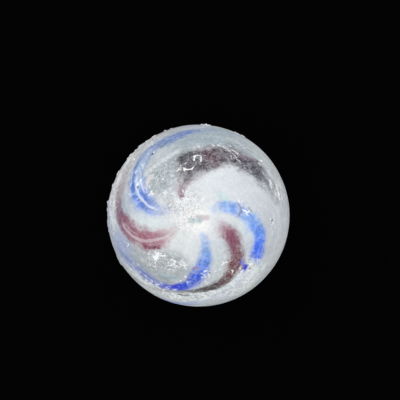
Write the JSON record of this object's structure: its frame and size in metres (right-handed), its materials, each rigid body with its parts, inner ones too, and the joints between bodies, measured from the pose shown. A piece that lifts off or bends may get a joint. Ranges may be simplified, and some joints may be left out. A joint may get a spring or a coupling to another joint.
{
  "type": "glass marble",
  "caption": "Round handmade ball of pale milky glass with maroon and blue strands that curl from pole to pole, worn and pitted on one half.",
  "frame": {"origin": "centre of the ball", "axes": "+Z runs from the lower pole to the worn upper pole, which is the axis that the strands twist round. +Y and +X have no feature of their own; bearings are read clockwise from +Y, seen from above +Z."},
  "size_m": [0.016, 0.016, 0.016],
  "materials": {
    "milky_glass": "satin"
  },
  "bodies": {
    "root": {"marble": "milky_glass"}
  },
  "joints": []
}
